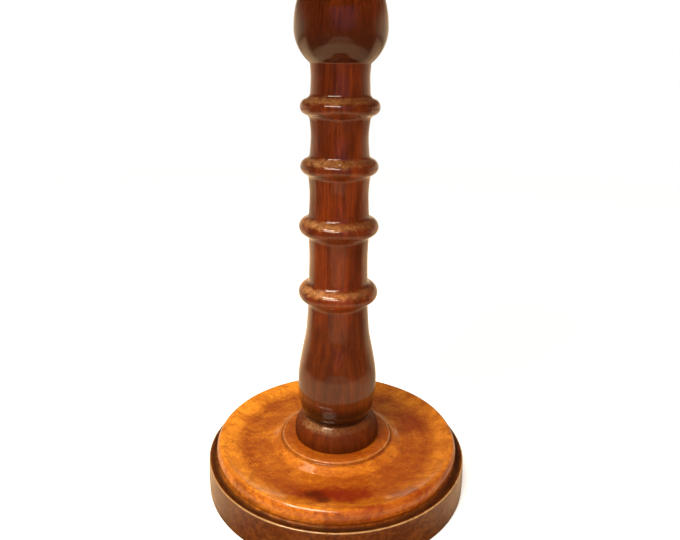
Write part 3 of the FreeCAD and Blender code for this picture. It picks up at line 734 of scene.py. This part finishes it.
def makeColumnWood():
    material, tree, shader, place = newMaterial("columnWood")
    f = columnFinish
    grain = woodFigure(tree, place, f["figureScale"], f["fibreScale"], f["warp"])
    patch = useGroup(tree, blotchGroup, Vector=stretch(tree, place, f["patchStretch"]), Scale=f["patchScale"],
                     Low=f["patchRange"][0], High=f["patchRange"][1])
    dustAndSheen = useGroup(tree, dustGroup, Vector=place, Scale=f["dustScale"], Amount=f["dustAmount"])
    x, _, height, _ = splitPlace(tree, place)
    tone = mathValue(tree, 'MULTIPLY_ADD', grain["Fibre"], f["fibreShare"],
                     times(tree, grain["Figure"], 1 - f["fibreShare"]))
    neck = mixColour(tree, tone, f["neckDark"], f["neckLight"])
    body = mixColour(tree, tone, f["bodyDark"], f["bodyLight"])
    bulb = rangeValue(tree, height, bulbZ - 0.001, bulbZ + 0.001)
    vase = rangeValue(tree, height, ringHeights[0] - f["vaseFade"][0], ringHeights[0] - f["vaseFade"][1])
    colour = mixColour(tree, vase, neck, body)
    # Painted light: the bulb's colour is lightened to make up for the shade the table top casts on it
    colour = mixColour(tree, times(tree, bulb, times(tree, tone, f["bulbPaintedLight"])), colour, f["bulbLitTone"])
    under = times(tree, rangeValue(tree, height, bulbZ + f["bulbShade"][0], bulbZ + f["bulbShade"][1]), bulb)
    shade = mathValue(tree, 'MAXIMUM', under, times(tree, patch["Mask"], f["patchDepth"]))
    colour = mixColour(tree, shade, colour, f["bodyDark"])
    # Painted shade: a dark band low on the vase, just above the waist
    low = rangeValue(tree, height, waistZ + f["vaseFootShade"][0], waistZ + f["vaseFootShade"][1])
    colour = layer(tree, colour, low, rangeValue(tree, height, waistZ, waistZ + 0.003), f["vaseFootShadeTone"])
    # Polish rubbed through on top of the rings, with painted highlight: lighter and strongest on the left
    # side, where the light falls
    rings = []
    for crest, ringZ in zip(columnShape["ringRadii"], ringHeights):
        rings.append(bandMask(tree, place, crest - f["wearPlace"], ringZ + f["wearReach"], f["wearReach"],
                              f["wearRagged"]))
    rings = strongest(tree, rings)
    speckle = rangeValue(tree, noiseValue(tree, place, f["speckleScale"], 3.0, 0.7), 0.42, 0.62)
    speckle = mathValue(tree, 'MULTIPLY_ADD', speckle, f["speckleShare"],
                        times(tree, patch["Mottle"], 1 - f["speckleShare"]))
    leftward = rangeValue(tree, x, *f["wearAndLightSide"], f["wearAndLightWeakest"], 1.0)
    wornAndLit = times(tree, times(tree, rings, leftward), speckle)
    colour = layer(tree, colour, wornAndLit, f["wearAndLight"], f["wornAndLitTone"])
    # Dust and painted highlight in the hollow above the foot, strongest at one spot on the front left
    frontLeftSpotCentre = Vector(f["frontLeftSpotPlace"]) + Vector((0, 0, waistZ))
    frontLeftSpot = spotMask(tree, place, frontLeftSpotCentre, f["frontLeftSpotSize"], 0.5)
    creviceR = columnShape["waistRadius"] + 0.003
    crevice = bandMask(tree, place, creviceR, waistZ - 0.002, f["wearReach"], f["wearRagged"])
    crevice = times(tree, crevice, mathValue(tree, 'MULTIPLY_ADD', frontLeftSpot, 0.75, 0.18))
    crevice = times(tree, crevice, speckle)
    colour = layer(tree, colour, crevice, f["creviceDustAndSheen"], woodTones["dustAndSheen"])
    foot = rangeValue(tree, height, waistZ + 0.002, waistZ - 0.002)
    # Painted light: the foot is lighter on its left side, where the light falls
    colour = layer(tree, colour, foot, times(tree, leftward, f["footPaintedLight"]), woodTones["russet"])
    colour = layer(tree, colour, grain["Pore"], f["pore"], woodTones["black"])
    colour = mixColour(tree, dustAndSheen["Speck"], colour, f["speckTone"])
    plug(tree, shader.inputs["Base Color"], colour)
    varnish(shader, f["baseGloss"], f["coatRoughness"])
    dull = strongest(tree, [times(tree, wornAndLit, 0.6), crevice, foot])
    rough = mathValue(tree, 'MAXIMUM', dustAndSheen["Smear"], dull)
    rough = rangeValue(tree, rough, 0.0, 1.0, *f["roughness"], False)
    plug(tree, shader.inputs["Roughness"], rough)
    plug(tree, shader.inputs["Coat Weight"], rangeValue(tree, dull, 0.0, 1.0, 1.0, f["dullestCoat"], False))
    lift = mathValue(tree, 'MULTIPLY_ADD', times(tree, rings, speckle), f["wearBump"], fibreBump(tree, grain))
    bumpNormal(tree, shader, lift, f["bump"])
    return material


baseFinish = {
    "speckTone": (0.9, 0.84, 0.70, 1),
    "figureScale": 42.0,
    "fibreScale": 190.0,
    "warp": 0.02,
    "grainStretch": (5, 1, 1),
    "grainTurn": (0, math.radians(90), math.radians(6)),
    "toneRange": (0.20, 0.80),
    "shortStretch": (1, 7, 1),
    "shortTurn": (math.radians(84), 0, 0),
    "shortScale": (60.0, 260.0, 0.01),  # figure, fibre and warp of the grain that shows across
    "patchScale": 24.0,
    "patchRange": (0.46, 0.60),
    "wideScale": 11.0,
    "wideRange": (0.46, 0.66),
    "dustScale": 46.0,
    "dustAmount": 0.10,
    "westSide": (0.11, -0.09),  # X where the disc is darkest and lightest
    "latheScale": 330.0,
    "latheMark": 0.40,
    "shadeRing": (0.096, 0.108, 0.115, 0.124),  # radii where the darker ring starts, is full, fades and ends
    "crossAmber": 0.30,
    "westAmber": 0.22,
    "mottle": 0.35,
    "eastRusset": 0.35,
    "cove": 0.30,
    "boss": 0.42,
    "crispScale": 520.0,
    "crisp": 0.38,
    "streakFront": (-0.05, -0.12),
    "streak": 0.5,
    "patch": 0.38,
    "wide": 0.45,
    "stains": (  # centre, size and strength
        ((-0.004, -0.107, 0.052), (0.066, 0.020, 0.03), 1.0),
        ((0.092, 0.030, 0.053), (0.030, 0.032, 0.03), 0.60),
        ((-0.098, -0.012, 0.053), (0.012, 0.036, 0.03), 0.30),
        ((0.088, -0.108, 0.056), (0.052, 0.012, 0.03), 0.80),
        ((0.040, -0.134, 0.056), (0.046, 0.007, 0.03), 0.80),
    ),
    "stainRagged": 0.9,
    "knots": (
        ((-0.012, -0.117, 0.052), (0.011, 0.008, 0.03)),
        ((-0.023, -0.107, 0.052), (0.016, 0.010, 0.03)),
    ),
    "knotRagged": 0.45,
    "knot": 0.8,
    "side": 0.92,
    "sideMottle": (0.15, 0.70),
    "quirkWidth": 0.0046,
    "quirk": 0.82,
    "bossStepDark": 0.5,
    "edgeWear": 0.85,
    "pore": 0.45,
    "fleckScale": 110.0,
    "fleck": 0.6,
    "baseGloss": 0.42,
    "coatRoughness": 0.09,
    "roughness": (0.30, 0.6),
    "dullestCoat": 0.1,
    "bump": 0.00014,
}


def discZones(tree, radius):  # rim, boss and ogee, told apart by their distance from the axis
    s = discShape
    crestR = s["radius"] - s["crestInset"]
    rim = times(tree, rangeValue(tree, radius, s["dishOuter"] - 0.010, crestR - 0.008),
                rangeValue(tree, radius, s["radius"] - 0.0004, crestR - 0.001))
    boss = rangeValue(tree, radius, s["bossRadius"] + 0.001, s["bossRadius"] - 0.003)
    cove = times(tree, rangeValue(tree, radius, s["dishInner"] + 0.004, s["dishInner"] - 0.004),
                 rangeValue(tree, radius, s["bossRadius"] - 0.001, s["bossRadius"] + 0.003))
    return rim, boss, cove


def makeBaseWood():
    # Grain runs left to right, so local Z of the grain group is the table's X
    material, tree, shader, place = newMaterial("baseWood")
    s = discShape
    f = baseFinish
    shelfZ = plinthHigh[2]
    amber, honey, russet, umber = (woodTones[key] for key in ("amber", "honey", "russet", "umber"))
    along = stretch(tree, place, f["grainStretch"], f["grainTurn"])
    grain = woodFigure(tree, along, f["figureScale"], f["fibreScale"], f["warp"])
    short = woodFigure(tree, stretch(tree, place, f["shortStretch"], f["shortTurn"]), *f["shortScale"])
    patch = useGroup(tree, blotchGroup, Vector=place, Scale=f["patchScale"], Low=f["patchRange"][0],
                     High=f["patchRange"][1])
    apart = stretch(tree, place, (0.6, 1, 1), move=(3, 1, 0))
    wide = useGroup(tree, blotchGroup, Vector=apart, Scale=f["wideScale"], Low=f["wideRange"][0],
                    High=f["wideRange"][1])
    dustAndSheen = useGroup(tree, dustGroup, Vector=place, Scale=f["dustScale"], Amount=f["dustAmount"])
    x, y, _, radius = splitPlace(tree, place)
    rim, boss, cove = discZones(tree, radius)
    tone = mathValue(tree, 'MULTIPLY_ADD', grain["Fibre"], 0.5, times(tree, grain["Figure"], 0.5))
    tone = rangeValue(tree, tone, *f["toneRange"])
    aroundAxis = addNode(tree, 'ShaderNodeCombineXYZ')
    plug(tree, aroundAxis.inputs[0], radius)
    plug(tree, aroundAxis.inputs[1], times(tree, patch["Mottle"], 0.0012))
    lathe = rangeValue(tree, noiseValue(tree, aroundAxis.outputs[0], f["latheScale"], 4.0, 0.7), 0.42, 0.66)
    westward = rangeValue(tree, mathValue(tree, 'MULTIPLY_ADD', grain["Figure"], 0.05, x), *f["westSide"])
    eastward = mathValue(tree, 'SUBTRACT', 1.0, westward)
    # The dish, then the brighter rim and ogee
    dish = mixColour(tree, tone, russet, honey)
    dish = layer(tree, dish, short["Fibre"], f["crossAmber"], amber)
    dish = layer(tree, dish, westward, f["westAmber"], amber)
    dish = layer(tree, dish, patch["Mottle"], f["mottle"], russet)
    dish = layer(tree, dish, eastward, f["eastRusset"], russet)
    dish = layer(tree, dish, lathe, f["latheMark"], russet)
    ringStart, ringFull, ringFade, ringEnd = f["shadeRing"]
    shadeRing = times(tree, rangeValue(tree, radius, ringStart, ringFull),
                      rangeValue(tree, radius, ringEnd, ringFade))
    dish = layer(tree, dish, shadeRing, mathValue(tree, 'MULTIPLY_ADD', patch["Mottle"], 0.55, 0.22), russet)
    bright = mixColour(tree, tone, honey, amber)
    colour = layer(tree, dish, rim, mathValue(tree, 'MULTIPLY_ADD', westward, 0.45, 0.45), bright)
    colour = layer(tree, colour, cove, f["cove"], bright)
    colour = layer(tree, colour, boss, f["boss"], russet)
    # Fine streaks, stains and knots
    crisp = noiseValue(tree, stretch(tree, place, (0.45, 1, 1)), f["crispScale"], 4.0, 0.75)
    colour = layer(tree, colour, rangeValue(tree, crisp, 0.44, 0.62), f["crisp"], russet)
    streak = times(tree, short["Fibre"], rangeValue(tree, y, *f["streakFront"]))
    colour = layer(tree, colour, streak, f["streak"], russet)
    colour = layer(tree, colour, patch["Mask"], f["patch"], russet)
    stain = times(tree, wide["Mask"], mathValue(tree, 'SUBTRACT', 1.0, rim))
    colour = layer(tree, colour, stain, f["wide"], russet)
    stains = []
    for centre, size, strength in f["stains"]:
        stains.append(times(tree, spotMask(tree, place, centre, size, f["stainRagged"]), strength))
    colour = mixColour(tree, strongest(tree, stains), colour, woodTones["stain"])
    knots = []
    for centre, size in f["knots"]:
        knots.append(spotMask(tree, place, centre, size, f["knotRagged"]))
    colour = layer(tree, colour, strongest(tree, knots), f["knot"], umber)
    # The disc's outer side and the plinth
    side = rangeValue(tree, radius, s["radius"] - 0.0040, s["radius"] - 0.0012)
    plinthPart = rangeValue(tree, radius, s["radius"] + 0.0022, s["radius"] + 0.0042)
    mottled = mathValue(tree, 'MULTIPLY_ADD', patch["Mottle"], 0.6, times(tree, grain["Fibre"], 0.4))
    mottled = rangeValue(tree, mottled, *f["sideMottle"])
    plinthSide = mixColour(tree, mottled, woodTones["plinthLight"], woodTones["plinthDark"])
    plinthSide = layer(tree, plinthSide, wide["Mask"], 0.3, umber)
    discSide = mixColour(tree, mathValue(tree, 'MULTIPLY_ADD', mottled, 0.45, 0.32), honey, russet)
    discSide = layer(tree, discSide, patch["Mask"], 0.55, umber)
    discSide = layer(tree, discSide, eastward, 0.5, woodTones["stain"])
    colour = layer(tree, colour, side, f["side"], mixColour(tree, plinthPart, discSide, plinthSide))
    # The groove between disc and plinth is painted near black: partly dirt, partly painted shade
    quirk = bandMask(tree, place, s["radius"] + 0.0022, shelfZ - 0.0010, f["quirkWidth"], 0.45)
    colour = layer(tree, colour, quirk, f["quirk"], woodTones["black"])
    # A darker umber band at the foot of the boss step
    bossStepDark = bandMask(tree, place, s["bossRadius"] + 0.001, shoulderZ - 0.003, 0.0024, 0.5)
    colour = layer(tree, colour, bossStepDark, f["bossStepDark"], umber)
    # Pale lines on the plinth's arris and the boss edge: partly polish worn off, partly painted highlight
    wornAndLit = strongest(tree, [
        bandMask(tree, place, plinthShape["edgeRadius"] - 0.0004, shelfZ - 0.0001, 0.0014, 0.5),
        times(tree, bandMask(tree, place, s["bossRadius"] - 0.001, shoulderZ, 0.0013, 0.9), 0.5),
    ])
    colour = layer(tree, colour, wornAndLit, f["edgeWear"], woodTones["dustAndSheen"])
    colour = layer(tree, colour, grain["Pore"], f["pore"], umber)
    slanted = stretch(tree, place, (1, 0.35, 1), (0, 0, math.radians(-55)))
    fleck = noiseValue(tree, slanted, f["fleckScale"], 2.0, 0.6)
    colour = layer(tree, colour, rangeValue(tree, fleck, 0.70, 0.76), f["fleck"], umber)
    colour = mixColour(tree, dustAndSheen["Speck"], colour, f["speckTone"])
    plug(tree, shader.inputs["Base Color"], colour)
    varnish(shader, f["baseGloss"], f["coatRoughness"])
    rough = mathValue(tree, 'MAXIMUM', dustAndSheen["Smear"], quirk)
    rough = rangeValue(tree, rough, 0.0, 1.0, *f["roughness"], False)
    plug(tree, shader.inputs["Roughness"], rough)
    coat = mathValue(tree, 'MAXIMUM', quirk, times(tree, dustAndSheen["Smear"], 0.25))
    plug(tree, shader.inputs["Coat Weight"], rangeValue(tree, coat, 0.0, 1.0, 1.0, f["dullestCoat"], False))
    lift = mathValue(tree, 'MULTIPLY_ADD', patch["Mottle"], 0.6, fibreBump(tree, grain))
    bumpNormal(tree, shader, lift, f["bump"])
    return material


def makePlainWood(name, light, dark, figureScale, turn, roughness, coat):
    material, tree, shader, place = newMaterial(name)
    grain = woodFigure(tree, stretch(tree, place, (1, 1, 1), turn), figureScale, 360.0, 0.03)
    patch = useGroup(tree, blotchGroup, Vector=place, Scale=12.0, Low=0.4, High=0.7)
    tone = mathValue(tree, 'MULTIPLY_ADD', grain["Fibre"], 0.4, times(tree, grain["Figure"], 0.6))
    colour = mixColour(tree, tone, dark, light)
    colour = layer(tree, colour, patch["Mask"], 0.3, dark)
    colour = layer(tree, colour, grain["Pore"], 0.45, woodTones["black"])
    plug(tree, shader.inputs["Base Color"], colour)
    shader.inputs["Coat Weight"].default_value = coat
    shader.inputs["Coat Roughness"].default_value = 0.1
    rough = rangeValue(tree, patch["Mottle"], 0.0, 1.0, roughness - 0.08, roughness + 0.1, False)
    plug(tree, shader.inputs["Roughness"], rough)
    bumpNormal(tree, shader, fibreBump(tree, grain), 0.00014)
    return material


def makeMetal(name, bright, dull, roughness):
    # Aged metal: tarnish gathers in patches and along the brushing
    material, tree, shader, place = newMaterial(name)
    patch = useGroup(tree, blotchGroup, Vector=place, Scale=90.0, Low=0.38, High=0.66)
    brushed = noiseValue(tree, stretch(tree, place, (1, 0.05, 1)), 2600.0, 2.0, 0.6)
    colour = layer(tree, bright, patch["Mask"], 0.7, dull)
    colour = layer(tree, colour, brushed, 0.25, dull)
    plug(tree, shader.inputs["Base Color"], colour)
    shader.inputs["Metallic"].default_value = 1.0
    rough = rangeValue(tree, mathValue(tree, 'MULTIPLY_ADD', patch["Mottle"], 0.6, patch["Mask"]), 0.0, 1.4,
                       roughness, roughness + 0.3, False)
    plug(tree, shader.inputs["Roughness"], rough)
    bumpNormal(tree, shader, brushed, 0.00003)
    return material


plainWoods = {
    "topWood": {
        "light": (0.30, 0.070, 0.008, 1),
        "dark": (0.080, 0.014, 0.0018, 1),
        "figureScale": 16.0,
        "turn": (0, math.radians(90), 0),
        "roughness": 0.38,
        "coat": 1.0,
    },
    "underWood": {
        "light": (0.19, 0.065, 0.018, 1),
        "dark": (0.065, 0.020, 0.006, 1),
        "figureScale": 26.0,
        "turn": (math.radians(90), 0, 0),
        "roughness": 0.62,
        "coat": 0.0,
    },
    "bareWood": {
        "light": (0.48, 0.27, 0.12, 1),
        "dark": (0.26, 0.13, 0.05, 1),
        "figureScale": 40.0,
        "turn": (0, 0, 0),
        "roughness": 0.7,
        "coat": 0.0,
    },
}
metals = {
    "agedBrass": {"bright": (0.72, 0.46, 0.15, 1), "dull": (0.20, 0.105, 0.035, 1), "roughness": 0.26},
    "dullSteel": {"bright": (0.42, 0.40, 0.37, 1), "dull": (0.11, 0.075, 0.05, 1), "roughness": 0.38},
}
columnWood = makeColumnWood()
baseWood = makeBaseWood()
topWood, underWood, bareWood = [makePlainWood(name, **values) for name, values in plainWoods.items()]
agedBrass, dullSteel = [makeMetal(name, **values) for name, values in metals.items()]
print("materials made")


def finishTurned(piece, node, material, body):
    applyModifiers(piece)
    bpy.ops.object.shade_smooth_by_angle(angle=math.radians(38))
    setMaterial(piece, material)
    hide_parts(node)
    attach(piece, body)


def buildPlinth():
    piece = turnPiece("plinthTurning", plinthProfile(), 128)
    addSubdivision(piece, 1)
    applyModifiers(piece)
    addRingGroup(piece, "wornEdge", plinthShape["edgeRadius"], plinthHigh[2], 0.0025)
    addUnevenness(piece, "edgeChips", 0.006, -0.0007, "wornEdge")
    addUnevenness(piece, "plinthWave", 0.09, 0.0005)
    finishTurned(piece, "base_plinth", baseWood, "pedestal")


def buildDisc():
    piece = turnPiece("discTurning", discProfile(), 128)
    addSubdivision(piece, 1)
    addUnevenness(piece, "discWave", 0.07, 0.0006)
    finishTurned(piece, "base_disc", baseWood, "pedestal")


def buildColumn():
    piece = turnPiece("columnTurning", columnProfile(), 96)
    addSubdivision(piece, 1)
    addUnevenness(piece, "columnWave", 0.035, 0.0004)
    finishTurned(piece, "column", columnWood, "pedestal")


def buildTop():
    piece = turnPiece("topBoard", topProfile(), 144)
    addSubdivision(piece, 1)
    finishTurned(piece, "table_top", topWood, "top")


buildPlinth()
buildDisc()
buildColumn()
buildTop()
print("turnings made")

cadMaterials = {
    underWood: ("top_block", "bearer_left", "bearer_right"),
    bareWood: ("column_foot_wedge", "column_head_wedge"),
    agedBrass: ("catch_plate", "catch_plate_screws", "catch_case", "catch_rivets", "catch_bolt", "catch_knob",
                "keeper_plate", "keeper_screws"),
    dullSteel: ("base_screws", "bearer_screws_left", "bearer_screws_right", "pivot_pin_left",
                "pivot_pin_right", "catch_spring"),
}
for material, nodes in cadMaterials.items():
    for node in nodes:
        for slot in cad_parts[node].material_slots:
            slot.material = material
print("frame parts finished")


mirrorBright = (0.98, 0.72, 0.46, 1)  # the pale room, as the varnish shows it
floorValues = {
    "colour": (0.93, 0.93, 0.93, 1),
    "lift": 0.35,
    "end": (1.3, 2.6),
    "shadedReach": 0.205,
    "shadedAside": (0.17, 0.10),
    "brightReach": 0.50,
    "bright": 0.45,
    "frontReach": 1.15,
    "frontWidth": 0.36,
    "behind": (0.05, 0.4),
    "mirrorFront": (0.29, 0.215, 0.16, 1),
    "mirrorFar": (0.06, 0.036, 0.024, 1),
    "mirrorShade": (0.10, 0.05, 0.022, 1),
}


def within(tree, value, reach, fade):
    return rangeValue(tree, value, reach + fade, reach)


def addFloor():  # white for the camera, with lighter and darker zones for the varnish to mirror
    f = floorValues
    deselectAll()
    bpy.ops.mesh.primitive_plane_add(size=30)
    floor = bpy.context.object
    floor.name = floor.data.name = "floor"
    material, tree, shader, place = newMaterial("paleFloor")
    shader.inputs["Roughness"].default_value = 0.9
    shader.inputs["Specular IOR Level"].default_value = 0.0
    path = addNode(tree, 'ShaderNodeLightPath')
    x, y, _, reach = splitPlace(tree, place)
    aside = mathValue(tree, 'ABSOLUTE', x)
    front = times(tree, within(tree, reach, f["frontReach"], 0.1), within(tree, aside, f["frontWidth"], 0.1))
    behind = rangeValue(tree, y, *f["behind"])
    around = times(tree, within(tree, reach, f["brightReach"], 0.15), f["bright"])
    shaded = times(tree, within(tree, reach, f["shadedReach"], 0.03),
                   rangeValue(tree, aside, *f["shadedAside"]))
    mirrored = mixColour(tree, front, f["mirrorFar"], f["mirrorFront"])
    mirrored = mixColour(tree, mathValue(tree, 'MAXIMUM', behind, around), mirrored, mirrorBright)
    mirrored = mixColour(tree, shaded, mirrored, f["mirrorShade"])
    colour = mixColour(tree, path.outputs["Is Glossy Ray"], f["colour"], mirrored)
    plug(tree, shader.inputs["Base Color"], colour)
    shader.inputs["Emission Color"].default_value = (1, 1, 1, 1)
    plug(tree, shader.inputs["Emission Strength"], times(tree, path.outputs["Is Camera Ray"], f["lift"]))
    clear = addNode(tree, 'ShaderNodeBsdfTransparent').outputs[0]
    blend = addNode(tree, 'ShaderNodeMixShader')
    plug(tree, blend.inputs[0], rangeValue(tree, reach, *f["end"]))
    plug(tree, blend.inputs[1], shader.outputs[0])
    plug(tree, blend.inputs[2], clear)
    plug(tree, tree.nodes["Material Output"].inputs["Surface"], blend.outputs[0])
    setMaterial(floor, material)


worldValues = {
    "skyLevel": (0.60, 0.55, 0.49, 1),
    "roomFront": (0.060, 0.034, 0.020, 1),
    "roomBehind": (0.16, 0.095, 0.055, 1),
    "behind": (-0.35, 0.65),
    "eyeLevel": (0.30, 0.05),
    "windowGlow": (0.14, 0.125, 0.29, 1),
    "windowWay": (0.10, -0.90, 0.42),
    "windowEdge": (0.74, 0.98),
}


def addWorld():  # white for the camera, a dim warm room with one window for the varnish to mirror
    w = worldValues
    world = bpy.data.worlds.new("studio")
    bpy.context.scene.world = world
    world.use_nodes = True
    tree = world.node_tree
    background = tree.nodes["Background"]
    path = addNode(tree, 'ShaderNodeLightPath')
    way = addNode(tree, 'ShaderNodeTexCoord').outputs["Generated"]
    _, y, z, _ = splitPlace(tree, way)
    behind = rangeValue(tree, y, *w["behind"])
    level = rangeValue(tree, mathValue(tree, 'ABSOLUTE', z), *w["eyeLevel"])
    mirrored = mixColour(tree, behind, w["roomFront"], w["roomBehind"])
    mirrored = layer(tree, mirrored, behind, level, mirrorBright)
    glow = rangeValue(tree, vectorMath(tree, 'DOT_PRODUCT', way, w["windowWay"]), *w["windowEdge"])
    mirrored = mixColour(tree, glow, mirrored, w["windowGlow"])
    unseen = mixColour(tree, path.outputs["Is Glossy Ray"], w["skyLevel"], mirrored)
    colour = mixColour(tree, path.outputs["Is Camera Ray"], unseen, (1, 1, 1, 1))
    plug(tree, background.inputs["Color"], colour)


softLights = {
    "keyLight": {"place": (-0.62, -0.78, 1.85), "size": (0.9, 0.42), "power": 37.0, "mirrored": True},
    "stripLight": {"place": (-0.62, -1.45, 1.54), "size": (1.5, 0.32), "power": 26.0, "mirrored": True},
    "fillLight": {"place": (0.95, -1.85, 0.75), "size": (1.6, 1.0), "power": 16.0, "mirrored": False},
    "ceilingLight": {"place": (-0.95, 0.02, 2.05), "size": (1.5, 0.42), "power": 8.0, "mirrored": True},
}
lampColour = (1.0, 0.87, 0.69)


def addSoftLight(name, place, size, power, mirrored):
    data = bpy.data.lights.new(name, 'AREA')
    data.shape = 'RECTANGLE'
    data.size, data.size_y = size
    data.energy = power
    data.color = lampColour
    light = bpy.data.objects.new(name, data)
    bpy.context.collection.objects.link(light)
    light.location = place
    aim = Vector((0, 0, 0.3)) - Vector(place)
    light.rotation_euler = aim.to_track_quat('-Z', 'Y').to_euler()
    light.visible_camera = False
    light.visible_glossy = mirrored


addFloor()
addWorld()
for name, values in softLights.items():
    addSoftLight(name, **values)
bpy.context.scene.view_settings.view_transform = 'Standard'
print("light set")
